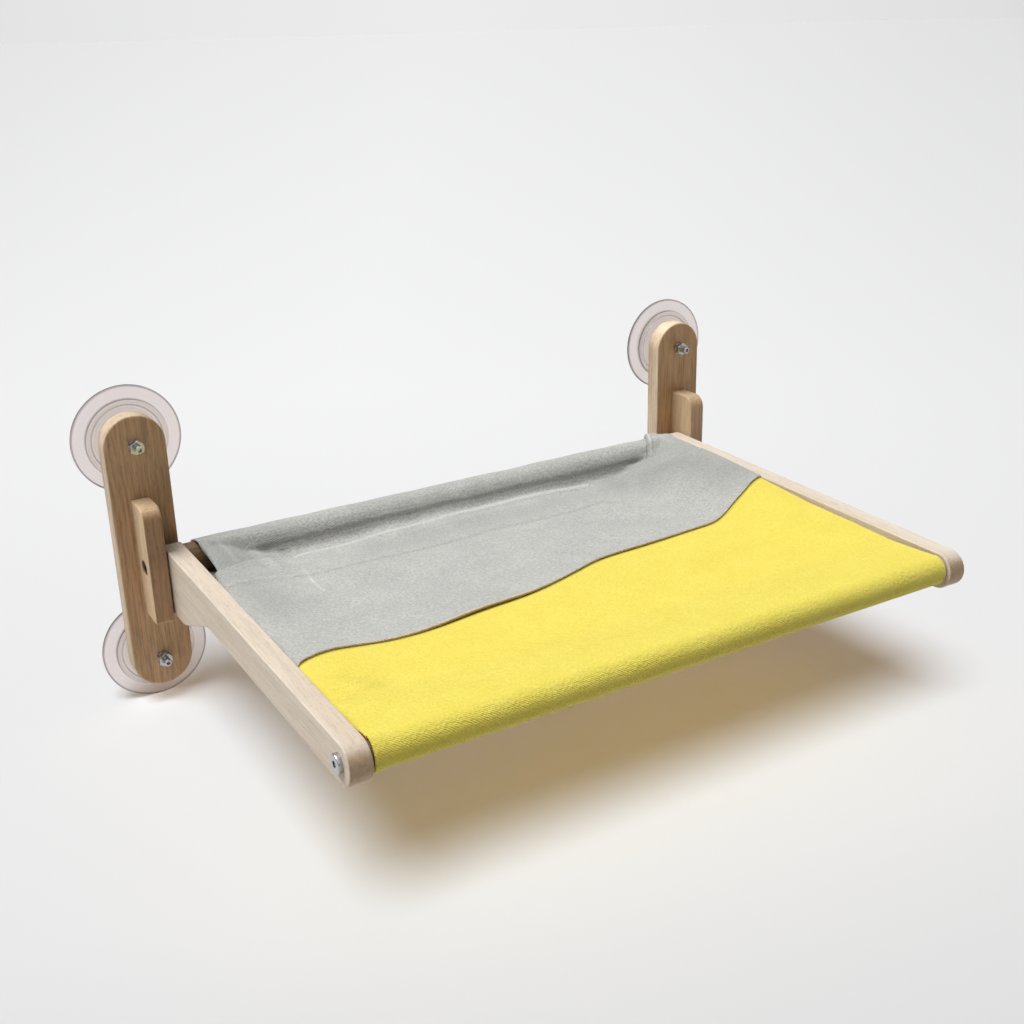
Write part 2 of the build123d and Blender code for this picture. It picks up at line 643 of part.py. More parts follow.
print("hinge line y", round(hinge_y, 2), "z", round(hinge_z, 2))
print("front dowel y", round(front_y, 2), "z", round(front_z, 2))
print("arm from x", round(arm_outer_x, 2), "to", round(arm_inner_x, 2))
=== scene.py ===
# %% [markdown]
# # Dressing a window cat perch
# The perch hangs on a window pane by four suction cups. Two wooden plates carry the cups, two arms
# fold up on bolts in the plates' blocks, and a cloth sling in grey and yellow is threaded on two
# dowels. The wood, plastic and metal pieces come from the CAD frame and only need finishes here.
# The cloth is built anew, because a stretched sling has a life that a plain solid doesn't show.

# %% The fixed frame
import math

import bpy
import numpy as np
from mathutils import Matrix, Vector


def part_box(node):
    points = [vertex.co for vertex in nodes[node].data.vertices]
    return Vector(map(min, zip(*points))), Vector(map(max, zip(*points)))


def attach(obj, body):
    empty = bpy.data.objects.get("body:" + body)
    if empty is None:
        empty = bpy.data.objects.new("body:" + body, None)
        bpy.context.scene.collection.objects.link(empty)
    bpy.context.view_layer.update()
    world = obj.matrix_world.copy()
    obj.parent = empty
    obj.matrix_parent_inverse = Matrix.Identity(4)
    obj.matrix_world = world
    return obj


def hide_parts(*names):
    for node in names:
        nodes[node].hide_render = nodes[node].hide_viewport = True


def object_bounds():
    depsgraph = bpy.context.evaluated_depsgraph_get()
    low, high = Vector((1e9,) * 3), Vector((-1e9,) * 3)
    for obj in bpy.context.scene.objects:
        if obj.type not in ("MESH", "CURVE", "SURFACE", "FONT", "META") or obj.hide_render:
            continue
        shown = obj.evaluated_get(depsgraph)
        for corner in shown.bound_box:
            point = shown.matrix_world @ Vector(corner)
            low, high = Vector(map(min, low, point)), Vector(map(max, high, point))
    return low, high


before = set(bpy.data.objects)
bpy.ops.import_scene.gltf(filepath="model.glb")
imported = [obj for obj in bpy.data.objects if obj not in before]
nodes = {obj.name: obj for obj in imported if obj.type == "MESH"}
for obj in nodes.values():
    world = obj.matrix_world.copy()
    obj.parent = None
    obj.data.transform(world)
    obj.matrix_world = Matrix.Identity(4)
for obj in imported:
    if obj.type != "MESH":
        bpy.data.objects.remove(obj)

cad_low, cad_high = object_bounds()
scene = bpy.context.scene
MM = 0.001
print("pieces in the frame:", len(nodes))
print("frame from", [round(c, 3) for c in cad_low], "to", [round(c, 3) for c in cad_high])

# %% [markdown]
# ## The camera
# A camera is fixed by where it stands, where it looks and how long its lens is. The picture was
# matched to the plates' and arms' straight edges. A camera looks along its own -Z, so its
# back vector points from the scene to the lens, and the other two axes follow from it.

# %% The camera
CAMERA_PLACE = Vector((-0.4684, -0.92402, 0.36795))
CAMERA_AZIMUTH = math.radians(-30.78)
CAMERA_RISE = math.radians(21.03)
CAMERA_ROLL = math.radians(-1.42)
SENSOR_WIDTH, LENS_LENGTH = 36.0, 44.77

back = Vector((
    math.sin(CAMERA_AZIMUTH) * math.cos(CAMERA_RISE),
    -math.cos(CAMERA_AZIMUTH) * math.cos(CAMERA_RISE),
    math.sin(CAMERA_RISE),
))
level_right = Vector((0, 0, 1)).cross(back).normalized()
level_up = back.cross(level_right)
right = math.cos(CAMERA_ROLL) * level_right + math.sin(CAMERA_ROLL) * level_up
up = math.cos(CAMERA_ROLL) * level_up - math.sin(CAMERA_ROLL) * level_right

lens = bpy.data.cameras.new("lens")
lens.sensor_width = SENSOR_WIDTH
lens.lens = LENS_LENGTH
camera = bpy.data.objects.new("camera", lens)
scene.collection.objects.link(camera)
camera_turn = Matrix((right, up, back)).transposed().to_4x4()
camera.matrix_world = Matrix.Translation(CAMERA_PLACE) @ camera_turn
scene.camera = camera
print("camera stands", round(CAMERA_PLACE.length, 3), "m from the window mount")

# %% [markdown]
# ## Small tools for finishes
# Every finish is a tree of nodes. Wiring them one by one takes many lines, so a few helpers do it.
# They start a finish, add a node with its settings, and add what is needed again and again: a step
# of arithmetic, a noise, a colour ramp, a mix of colours and a relief. Shades read off a screen are
# turned linear, because Blender reckons with amounts of light.

# %% Tools for finishes
def new_finish(name, roughness):
    """A new material with its main shader ready, and the tree that it lives in."""
    material = bpy.data.materials.new(name)
    material.use_nodes = True
    shader = material.node_tree.nodes["Principled BSDF"]
    shader.inputs["Roughness"].default_value = roughness
    return material, material.node_tree, shader


def add(tree, kind, settings=None, **inputs):
    """A node of a kind. Its inputs take numbers, or the outputs of other nodes."""
    made = tree.nodes.new(kind)
    for name, value in (settings or {}).items():
        setattr(made, name, value)
    for name, value in inputs.items():
        socket = made.inputs[int(name[1:])] if name[0] == "_" else made.inputs[name]
        if isinstance(value, bpy.types.NodeSocket):
            tree.links.new(value, socket)
        else:
            socket.default_value = value
    return made


def number(tree, operation, *values):
    """One step of arithmetic on numbers or outputs."""
    inputs = {f"_{place}": value for place, value in enumerate(values)}
    return add(tree, "ShaderNodeMath", {"operation": operation}, **inputs).outputs[0]


def vector_step(tree, operation, *values):
    """One step of arithmetic on vectors. A length comes out as a number."""
    inputs = {f"_{place}": value for place, value in enumerate(values)}
    made = add(tree, "ShaderNodeVectorMath", {"operation": operation}, **inputs)
    return made.outputs["Value" if operation == "LENGTH" else "Vector"]


def noise(tree, place, scale, detail, **more):
    """A cloudy grey noise. A larger scale makes it finer."""
    return add(tree, "ShaderNodeTexNoise", Vector=place, Scale=scale, Detail=detail, **more).outputs["Fac"]


def ramp(tree, source, *stops):
    """A colour ramp: each stop is a place from 0 to 1 and a colour, or a grey as one number."""
    made = add(tree, "ShaderNodeValToRGB", Fac=source)
    elements = made.color_ramp.elements
    while len(elements) < len(stops):
        elements.new(0.5)
    for element, (place, colour) in zip(elements, stops):
        element.position = place
        shade = colour if hasattr(colour, "__len__") else (colour,) * 3
        element.color = (*shade, 1)
    return made.outputs["Color"]


def mix(tree, share, first, second, blend="MIX"):
    """Two colours mixed. Plain colours are given without their alpha."""
    first, second = [(*c, 1) if isinstance(c, tuple) else c for c in (first, second)]
    settings = {"data_type": "RGBA", "blend_type": blend}
    return add(tree, "ShaderNodeMix", settings, _0=share, _6=first, _7=second).outputs[2]


def times(tree, colour, *shades):
    """A colour darkened or tinted by shades, one after the other."""
    for shade in shades:
        colour = mix(tree, 1.0, colour, shade, "MULTIPLY")
    return colour


def emboss(tree, shader, height, strength, depth):
    """A relief on a finish's surface, from a grey height, with its depth in millimetres."""
    relief = add(tree, "ShaderNodeBump", Height=height, Strength=strength, Distance=depth * MM)
    tree.links.new(relief.outputs[0], shader.inputs["Normal"])


def srgb(red, green, blue):
    """The linear colour of a shade as screens show it, from 0 to 255."""
    shares = [c / 255 for c in (red, green, blue)]
    return tuple(c / 12.92 if c <= 0.04045 else ((c + 0.055) / 1.055) ** 2.4 for c in shares)


def wear(material, *node_names):
    """Give CAD pieces their finish."""
    for node_name in node_names:
        slots = nodes[node_name].data.materials
        slots.clear()
        slots.append(material)


# %% [markdown]
# ## The studio
# A product like this is shot on pale paper under a big soft lamp overhead. The pool of light that
# such a lamp throws, round in front of the perch and drawn out behind it, is painted into the
# paper's colour. One measure of how far a place is from the pool's middle line gives the paper this
# painted light and shade, and the same measure shades the air behind it, so that no horizon shows
# in the main picture.

# %% The paper
PAPER_REACH = 80.0
POOL_CENTRE = (0.25, 0.75, 0.0)
POOL_TURN = math.radians(62)
POOL_SPREAD = 0.35
POOL_REACH = 2.0
POOL_SHADES = [
    (0.0, 0.79), (0.25, 0.765), (0.4, 0.737), (0.5, 0.717), (0.6, 0.70), (0.7, 0.63), (1.0, 0.60),
]
FAR_LOSS, FAR_HALF = 0.078, 2.4
BLACK, WHITE = (0.0, 0.0, 0.0), (1.0, 1.0, 1.0)

floor_height = cad_low.z
corners = [(-1, -1), (1, -1), (1, 1), (-1, 1)]
floor_points = [(x * PAPER_REACH, y * PAPER_REACH, floor_height) for x, y in corners]
floor_mesh = bpy.data.meshes.new("paper")
floor_mesh.from_pydata(floor_points, [], [(0, 1, 2, 3)])
floor = bpy.data.objects.new("paper", floor_mesh)
scene.collection.objects.link(floor)


def pool_shade(tree, place):
    """The painted pool of light's shade at a place, measured from the pool's centre."""
    turned = add(tree, "ShaderNodeVectorRotate", {"rotation_type": "Z_AXIS"}, Vector=place, Angle=-POOL_TURN)
    split = add(tree, "ShaderNodeSeparateXYZ", Vector=turned.outputs[0])
    behind = number(tree, "MAXIMUM", split.outputs["X"], 0.0)
    in_front = number(tree, "MAXIMUM", number(tree, "MULTIPLY", split.outputs["X"], -1.0), 0.0)
    spread = number(tree, "MULTIPLY_ADD", behind, POOL_SPREAD, 1.0)
    sideways = number(tree, "DIVIDE", split.outputs["Y"], spread)
    squares = number(tree, "MULTIPLY_ADD", sideways, sideways, number(tree, "POWER", in_front, 2.0))
    reach = number(tree, "DIVIDE", number(tree, "SQRT", squares), POOL_REACH)
    far = number(tree, "DIVIDE", behind, number(tree, "ADD", behind, FAR_HALF))
    lost = number(tree, "MULTIPLY", far, FAR_LOSS)
    return mix(tree, lost, ramp(tree, reach, *POOL_SHADES), BLACK)


paper, paper_tree, paper_shader = new_finish("studio_paper", 0.9)
paper_shader.inputs["Specular IOR Level"].default_value = 0.1
paper_place = add(paper_tree, "ShaderNodeTexCoord").outputs["Object"]
from_pool = vector_step(paper_tree, "SUBTRACT", paper_place, POOL_CENTRE)
# The paper's colour is a painted pool of light, brightest in the pool and darker far away
paper_tree.links.new(pool_shade(paper_tree, from_pool), paper_shader.inputs["Base Color"])
floor_mesh.materials.append(paper)
print("paper at", round(floor_height / MM, 1), "mm")

# %% [markdown]
# The lamps are sun lamps with a wide angle, which are soft but even. One lights the wood and metal,
# one the cloth from more overhead, and one, a little more in front, lights the paper alone, so that
# the shadow falls back under the sling, as the boom of a large softbox casts it. A weak warm lamp
# without a shadow stands for the light that wanders between sling and paper and lifts the shadow.

# %% The lamps
def softbox(name, from_left, from_front, strength, angle, colour=WHITE, shadow=True):
    """A wide sun lamp, tilted by two angles in degrees. It lights what is put in its collection."""
    lamp = bpy.data.lights.new(name, "SUN")
    lamp.energy = strength
    lamp.angle = math.radians(angle)
    lamp.color = colour
    lamp.use_shadow = shadow
    stand = bpy.data.objects.new(name, lamp)
    towards = Vector((-math.tan(math.radians(from_left)), -math.tan(math.radians(from_front)), 1))
    stand.rotation_euler = towards.to_track_quat("Z", "Y").to_euler()
    scene.collection.objects.link(stand)
    lit = bpy.data.collections.new(f"lit_by_{name}")
    stand.light_linking.receiver_collection = lit
    return lit


lit_by_key = softbox("paper_key", 22, 21, 3.40, 32, (0.83, 0.915, 1.0))
lit_by_fill = softbox("paper_fill", 0, 0, 0.88, 25, (1.0, 0.72, 0.47), shadow=False)
for lit in (lit_by_key, lit_by_fill):
    lit.objects.link(floor)
lit_frame = softbox("frame_lamp", 21, -12, 4.6, 46)
lit_cloth = softbox("cloth_lamp", 9, -5, 5.45, 46)

# %% [markdown]
# The air is pale to the eye but hardly lights matt surfaces. What shines mirrors the dim sides of
# the room and the bright lamp above, which gives metal its contrast. A Light Path node tells the
# three kinds of rays apart. The shade of the air that is seen is the pool's shade very far away.

# %% The air
AIR_OVER_PAPER, AIR_BLUENESS = 1.15, 1.005
AIR_ON_MATT = (0.085, 0.085, 0.085)
FAR_AWAY = 1000

world = bpy.data.worlds.new("studio_air")
scene.world = world
world.use_nodes = True
air_tree = world.node_tree
rays = add(air_tree, "ShaderNodeLightPath")
direction = add(air_tree, "ShaderNodeTexCoord").outputs["Generated"]
height = add(air_tree, "ShaderNodeSeparateXYZ", Vector=direction).outputs["Z"]
far_place = vector_step(air_tree, "MULTIPLY", direction, (FAR_AWAY, FAR_AWAY, 0))
air_gain = (AIR_OVER_PAPER, AIR_OVER_PAPER, AIR_BLUENESS * AIR_OVER_PAPER)
seen_air = times(air_tree, pool_shade(air_tree, far_place), air_gain)
mirrored_air = ramp(air_tree, height, (0.05, 0.16), (0.6, 0.95))
air_for_shine = mix(air_tree, rays.outputs["Is Glossy Ray"], seen_air, mirrored_air)
air_colour = mix(air_tree, rays.outputs["Is Diffuse Ray"], air_for_shine, AIR_ON_MATT)
air_tree.links.new(air_colour, air_tree.nodes["Background"].inputs["Color"])
scene.view_settings.view_transform = "Standard"
print("air over paper:", AIR_OVER_PAPER)

# %% [markdown]
# ## Wood
# The whole frame is planed hardwood. Its grain is long and thin, so the noise that draws it is
# stretched along the piece: one noise for broad bands, a finer one for grain lines, and a third for
# pores. The object's own coordinates keep the grain in place when an arm folds. The plates' edges
# show their layers, and the sides that look forward or back can have a stained face.

# %% A wood finish
BAND_SCALE, LINE_SCALE, PORE_SCALE = 60.0, 520.0, 1500.0
GRAIN_STRETCH, PORE_STRETCH = 0.05, 0.12


def stretched(tree, place, along, share):
    """Coordinates that run slower along one axis, so that a noise is drawn out along it."""
    scale = [share if axis == along else 1.0 for axis in "XYZ"]
    return add(tree, "ShaderNodeMapping", Vector=place, Scale=scale).outputs[0]


def wood(name, pale, dark, along, streak, face=None, plies=0.0):
    """Wood with its grain along an axis. Sides square to Y can have a face of their own colour."""
    material, tree, shader = new_finish(name, 0.55)
    shader.inputs["Specular IOR Level"].default_value = 0.3
    coords = add(tree, "ShaderNodeTexCoord")
    place = coords.outputs["Object"]
    grain_place = stretched(tree, place, along, GRAIN_STRETCH)
    pore_place = stretched(tree, place, along, PORE_STRETCH)
    bands = noise(tree, grain_place, BAND_SCALE, 4.0, Distortion=0.4)
    lines = noise(tree, grain_place, LINE_SCALE, 5.0, Roughness=0.65)
    pores = noise(tree, pore_place, PORE_SCALE, 2.0)
    band_shade = ramp(tree, bands, (0.35, pale), (0.68, dark))
    line_shade = ramp(tree, lines, (0.38, 1.0 - streak), (0.56, 1.0))
    tone = times(tree, band_shade, line_shade)
    if plies:
        layers = add(tree, "ShaderNodeTexWave", {"bands_direction": "Y"}, Vector=place, Scale=plies)
        tone = times(tree, tone, ramp(tree, layers.outputs["Fac"], (0.25, 0.86), (0.45, 1.0)))
    if face:
        facing = add(tree, "ShaderNodeSeparateXYZ", Vector=coords.outputs["Normal"]).outputs["Y"]
        on_face = ramp(tree, number(tree, "ABSOLUTE", facing), (0.55, 0.0), (0.9, 1.0))
        stain = mix(tree, bands, face, tuple(c * 0.7 for c in face))
        face_lines = ramp(tree, lines, (0.36, 1.0 - 1.6 * streak), (0.58, 1.0))
        tone = mix(tree, on_face, tone, times(tree, stain, face_lines))
    pore_shade = ramp(tree, pores, (0.3, 0.72), (0.4, 1.0))
    tree.links.new(mix(tree, 0.8, tone, pore_shade, "MULTIPLY"), shader.inputs["Base Color"])
    tree.links.new(ramp(tree, lines, (0.3, 0.66), (0.7, 0.5)), shader.inputs["Roughness"])
    emboss(tree, shader, line_shade, 0.35, 0.15)
    return material


# %% [markdown]
# The same recipe makes all the wood. The plates and blocks have a warm face and pale edges, and the
# arms are paler. The dowels are painted dark, as painted shade for the shadow they lie in under the
# cloth. The right plate and block are painted lighter than the left ones, as painted light for the
# right side's brighter lighting, and their grain's contrast differs a little.

# %% Wood on the plates, blocks, arms and dowels
PLY_SCALE = 95.0
PLATE_FACE = srgb(219, 177, 134)
BLOCK_PALE, BLOCK_DARK = srgb(213, 185, 151), srgb(192, 161, 125)
# The right plate and block get lighter colours than the left ones: painted light for the brighter right side
left_plate_wood_painted_dim = wood(
    "left_plate_wood_painted_dim", srgb(214, 194, 168), srgb(190, 164, 133), "Z",
    streak=0.24, face=PLATE_FACE, plies=PLY_SCALE)
right_plate_wood_painted_lit = wood(
    "right_plate_wood_painted_lit", srgb(233, 212, 184), srgb(210, 184, 152), "Z",
    streak=0.2, face=PLATE_FACE, plies=PLY_SCALE)
left_block_wood_painted_dim = wood(
    "left_block_wood_painted_dim", BLOCK_PALE, BLOCK_DARK, "Z", streak=0.2, face=srgb(188, 149, 112))
right_block_wood_painted_lit = wood(
    "right_block_wood_painted_lit", BLOCK_PALE, BLOCK_DARK, "Z", streak=0.16, face=srgb(228, 189, 150))
arm_wood = wood(
    "arm_wood", srgb(209, 197, 181), srgb(198, 181, 160), "Y", streak=0.12, face=srgb(197, 167, 135))
# The dowels' dark colour is painted shade for the shadow they lie in under the cloth
dowel_wood = wood("dowel_wood", srgb(140, 112, 82), srgb(118, 90, 62), "X", streak=0.3)
wear(left_plate_wood_painted_dim, "left_wall_plate")
wear(right_plate_wood_painted_lit, "right_wall_plate")
wear(left_block_wood_painted_dim, "left_hinge_block")
wear(right_block_wood_painted_lit, "right_hinge_block")
wear(arm_wood, "left_side_arm", "right_side_arm")
wear(dowel_wood, "rear_dowel", "front_dowel")
wood_finishes = (left_plate_wood_painted_dim, right_plate_wood_painted_lit, left_block_wood_painted_dim, right_block_wood_painted_lit, arm_wood, dowel_wood)
print("wood finishes:", [m.name for m in wood_finishes])

# %% [markdown]
# ## Metal
# The fasteners are zinc plated: bright, a little brushed, with tiny pits. The hinge bolts sit deep
# in the blocks and get a near-black finish, which is painted shade for their dark recesses.

# %% Metal finishes
PIT_SCALE = 1800.0


def metal(name, colour, roughness, pitting):
    """Plated metal, with fine pits that break up its shine."""
    material, tree, shader = new_finish(name, roughness)
    shader.inputs["Metallic"].default_value = 1.0
    shader.inputs["Base Color"].default_value = (*colour, 1)
    pits = noise(tree, add(tree, "ShaderNodeTexCoord").outputs["Object"], PIT_SCALE, 3.0)
    shine = ramp(tree, pits, (0.35, roughness * 0.7), (0.7, roughness * 1.5))
    tree.links.new(shine, shader.inputs["Roughness"])
    emboss(tree, shader, pits, pitting, 0.05)
    return material


zinc = metal("zinc_plate", (0.47, 0.475, 0.485), 0.19, 0.3)
# Near-black hinge bolts: painted shade in the recesses they sit in
recess_shade_metal = metal("recess_painted_shade_steel", (0.05, 0.045, 0.04), 0.45, 0.4)
brass = metal("sleeve_brass", (0.72, 0.55, 0.28), 0.35, 0.3)
wear(zinc, "cup_studs", "cup_washers", "cup_nuts", "block_screws", "hinge_washers")
wear(zinc, "left_front_bolt", "right_front_bolt")
wear(recess_shade_metal, "left_hinge_bolt", "right_hinge_bolt")
wear(brass, "rear_inserts", "front_inserts")
print("metal finishes:", [m.name for m in (zinc, recess_shade_metal, brass)])

# %% [markdown]
# ## Soft clear plastic
# The cups are clear soft plastic with a faint rosy tint and a misty surface. Light goes through, so
# the shader transmits it. The thin flange takes little of it, the thick boss more. The rim and the
# boss's edge, where one looks along the plastic, get dark rings of painted shade. The rings are drawn
# by the distance from the cup's own axis, which is the same for all four cups once left is folded
# onto right and below onto above.

# %% The cups' plastic
FLANGE = (0.83, 0.755, 0.735)
BOSS = (0.72, 0.635, 0.595)
# A dark painted shade for the rim and the boss's edge, where one looks along the plastic
RING_PAINTED_SHADE = (0.40, 0.35, 0.34)
RINGS = [
    (0.0, BOSS), (0.63, BOSS), (0.65, RING_PAINTED_SHADE), (0.67, BOSS), (0.73, BOSS), (0.745, RING_PAINTED_SHADE),
    (0.765, FLANGE), (0.96, FLANGE), (0.975, RING_PAINTED_SHADE), (1.0, RING_PAINTED_SHADE),
]
RIPPLES = 105.0
MIST_SCALE = 240.0

cups = [name for name in nodes if name.startswith("suction_cup")]
cup_low, cup_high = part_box("suction_cup_top_right")
cup_axis = (Vector(cup_low) + Vector(cup_high)) / 2
cup_reach = (cup_high[0] - cup_low[0]) / 2
cup_plastic, cup_tree, cup_shader = new_finish("cup_plastic", 0.16)
cup_shader.inputs["Transmission Weight"].default_value = 1.0
cup_shader.inputs["IOR"].default_value = 1.45

cup_place = add(cup_tree, "ShaderNodeTexCoord").outputs["Object"]
folded = vector_step(cup_tree, "ABSOLUTE", cup_place)
from_axis = vector_step(cup_tree, "SUBTRACT", folded, (cup_axis.x, 0, cup_axis.z))
on_window = vector_step(cup_tree, "MULTIPLY", from_axis, (1, 0, 1))
ring_place = number(cup_tree, "DIVIDE", vector_step(cup_tree, "LENGTH", on_window), cup_reach)
ring_tint = ramp(cup_tree, ring_place, *RINGS)

# Fine turned ripples, which are strong on the boss and weak on the flange
wave = number(cup_tree, "SINE", number(cup_tree, "MULTIPLY", ring_place, RIPPLES))
ripple_shade = ramp(cup_tree, number(cup_tree, "MULTIPLY_ADD", wave, 0.5, 0.5), (0.0, 0.86), (0.5, 1.0))
moulding = mix(cup_tree, ramp(cup_tree, ring_place, (0.74, 1.0), (0.77, 0.2)), WHITE, ripple_shade)
cup_tree.links.new(times(cup_tree, ring_tint, moulding), cup_shader.inputs["Base Color"])
mist = noise(cup_tree, cup_place, MIST_SCALE, 4.0)
cup_tree.links.new(ramp(cup_tree, mist, (0.3, 0.1), (0.75, 0.24)), cup_shader.inputs["Roughness"])
wear(cup_plastic, *cups)
print("clear cups:", len(cups), "of", round(2 * cup_reach / MM), "mm")

# %% [markdown]
# ## The sling's shape
# The sling is two pieces of cloth. Each has a rod pocket round a dowel, and they are sewn together
# along a wavy seam. Cloth held at two rods sags between them, hangs down steeply in front of the
# rear rod and is pulled up at its corners. Three sections describe that: one at the left edge, one
# in the middle and one at the right edge. Everything between is a blend of the three.

# %% Sections of the sling
REAR_ROD = (-37.0, -4.0)
FRONT_ROD = (-353.95, -9.69)
FRONT_WRAP = 10.2
CLOTH = 1.8
LEFT_FLAT = [
    (-57, 10.7), (-67, 9.2), (-78, 5.9), (-89, 2.0), (-95, 0.4), (-102, -1.0), (-110, -2.0), (-125, -2.4),
    (-160, -2.2), (-200, -1.9), (-260, -1.2), (-310, -0.3), (-340, 0.4), (-354, 0.51),
]
MIDDLE_FLAT = [
    (-57, -12.3), (-61, -12.8), (-68, -13.3), (-80, -13.5), (-100, -13.2), (-140, -12.0), (-200, -9.4),
    (-260, -6.2), (-310, -2.6), (-340, 0.0), (-354, 0.51),
]
RIGHT_FLAT = [
    (-57, 12.3), (-75, 11.7), (-91, 10.8), (-120, 9.8), (-150, 8.1), (-175, 6.4), (-200, 4.6), (-240, 2.0),
    (-280, 0.6), (-320, 0.0), (-342, 0.2), (-354, 0.51),
]
LEFT_POCKET = [
    (-97, -3.0), (-66, -10.5), (-41, -16.7), (-27.7, -13.3), (-23.8, -4), (-27.7, 5.3), (-37, 9.5),
    (-46, 11.0), (-56, 10.8), (-67, 9.2), (-78, 5.9), (-89, 2.0),
]
MIDDLE_POCKET = [
    (-58, -15.4), (-48, -16.9), (-37, -17.2), (-27.7, -13.3), (-23.8, -4), (-27.7, 5.3), (-37, 9.2),
    (-44.6, 6.6), (-49.0, 1.2), (-50.6, -4.8), (-53.9, -9.6), (-61, -12.8),
]
RIGHT_POCKET = [
    (-97, 5.0), (-66, -6.0), (-41, -16.7), (-27.7, -13.3), (-23.8, -4), (-27.5, 6.0), (-37, 11.0),
    (-47, 12.4), (-58, 12.3), (-69, 11.9), (-80, 11.4), (-91, 10.8),
]
# The cloth doesn't fall equally far in front of the rear dowel: by place across, it is this much higher
CREASE_LIFT = [
    (-219, 0), (-150, 0), (-115, -1.0), (-60, 1.2), (-15, 2.2), (30, 1.0), (75, 0.3), (120, -1.0),
    (160, 0), (227, 0),
]
print("sections of the sling:", len(LEFT_POCKET), "points round the rear dowel")

# %% [markdown]
# Between the points of a table runs a smooth curve, and an ease carries one section over into the
# next, so no kink shows where they meet. A hump is the profile of a single fold or bead.

# %% Blending the sections
FLAT_PULL = 150
PULLED_LEFT, PULLED_RIGHT = -219, 222


def ease(start, end, value):
    """0 before start, 1 after end, and a smooth rise between them."""
    share = np.clip((value - start) / (end - start), 0, 1)
    return share * share * (3 - 2 * share)


def hump(value, middle, width):
    """1 at the middle, and a smooth fall to both sides."""
    return np.exp(-(((value - middle) / width) ** 2))


def pulls(x, left_start=-FLAT_PULL, right_start=FLAT_PULL):
    """How far each place across is pulled towards the left edge's and the right edge's section."""
    return ease(left_start, PULLED_LEFT, x), ease(right_start, PULLED_RIGHT, x)


def along_table(where, table):
    """A smooth value, between the rows of a table of (place, value)."""
    places, values = np.array(sorted(table), float).T
    slopes = np.gradient(values, places)
    where = np.clip(where, places[0], places[-1])
    k = np.clip(np.searchsorted(places, where) - 1, 0, len(places) - 2)
    span = places[k + 1] - places[k]
    s = (where - places[k]) / span
    return (
        (2 * s**3 - 3 * s**2 + 1) * values[k]
        + (s**3 - 2 * s**2 + s) * span * slopes[k]
        + (3 * s**2 - 2 * s**3) * values[k + 1]
        + (s**3 - s**2) * span * slopes[k + 1]
    )


def sling_height(x, y):
    """The sling's own height, in millimetres, in front of the rear pocket."""
    left, right_side = pulls(x)
    middle = 1 - left - right_side
    return (
        left * along_table(y, LEFT_FLAT)
        + middle * along_table(y, MIDDLE_FLAT)
        + right_side * along_table(y, RIGHT_FLAT)
        + along_table(x, CREASE_LIFT) * ease(-104, -60, y)
    )


# %% [markdown]
# The seam is a line of points from left to right, measured on the object and joined by a smooth
# curve. The grey cloth ends there, and the yellow cloth runs on under it for a lap.

# %% The seam
SEAM = [
    (-229, -255), (-221, -248.5), (-211, -244.5), (-197, -241.5), (-180, -241), (-142, -242.5),
    (-92.5, -236), (-22, -225), (33, -205.5), (89, -199.5), (128, -196.5), (160, -191.5),
    (185, -182), (200.5, -176.5), (214, -171), (229, -166),
]
SEAM_LAP = 11.0


def seam_at(x):
    """Where the seam runs, in y, at a place across."""
    return along_table(x, SEAM)


print("the seam runs from", SEAM[0], "to", SEAM[-1], "mm")

# %% [markdown]
# Cloth is never smooth. Hems and seam allowances press through as thin steps, old folds stay as
# lines, and a slow wave runs over all of it. Each mark is a short line on the sling with a width
# and a height, and the marks are added to the sling's height. Most marks also pale the cloth or
# darken it: the paling is partly wear and partly painted highlight, the darkening painted shade.

# %% Marks in the cloth
END_FADE = 8
STEP_SPREAD = 9


def distance_to(line, x, y):
    """The distance from each place to a line of points, and on which side it lies."""
    nearest = np.full(np.shape(x), 1e9)
    side = np.zeros(np.shape(x))
    for (ax, ay), (bx, by) in zip(line, line[1:]):
        dx, dy = bx - ax, by - ay
        share = np.clip(((x - ax) * dx + (y - ay) * dy) / (dx * dx + dy * dy), 0, 1)
        gap_x, gap_y = x - ax - share * dx, y - ay - share * dy
        gap = np.hypot(gap_x, gap_y)
        closer = gap < nearest
        nearest = np.where(closer, gap, nearest)
        side = np.where(closer, np.sign(dx * gap_y - dy * gap_x), side)
    return nearest, side


def fade_ends(line, x, run):
    """1 along a line and 0 past its ends, across the perch."""
    low, high = min(p[0] for p in line), max(p[0] for p in line)
    return ease(low - run, low + run, x) * ease(high + run, high - run, x)


def ridge(line, width, height, paling_and_shade=0.0):
    """A mark that stands up, or lies low where its height is below zero. Its paling is partly wear and partly
    painted highlight; below zero it is painted shade.
    """
    def at(x, y):
        gap, _ = distance_to(line, x, y)
        profile = hump(gap, 0, width)
        return height * profile, paling_and_shade * profile
    return at


def step(line, width, height, paling_and_shade=0.0):
    """A mark whose rear side stands higher than its front, as where a hem lies under the cloth."""
    def at(x, y):
        gap, side = distance_to(line, x, y)
        fade = fade_ends(line, x, END_FADE)
        lift = height * np.tanh(gap * side / width) * hump(gap, 0, STEP_SPREAD * width)
        return lift * fade, paling_and_shade * hump(gap, 0, width) * fade
    return at


def slow_waves(x, y):
    """Broad shallow waves, from a few sines that never line up."""
    return (
        0.35 * np.sin(x / 31 + 1.3 * np.sin(y / 47))
        + 0.25 * np.sin(y / 23 + 0.9 * np.sin(x / 39 + 1))
        + 0.18 * np.sin((x + y) / 14 + 1.7 * np.sin(x / 53))
        + 0.10 * np.sin((x - 1.6 * y) / 8.5 + 1.1 * np.sin(y / 31))
    )
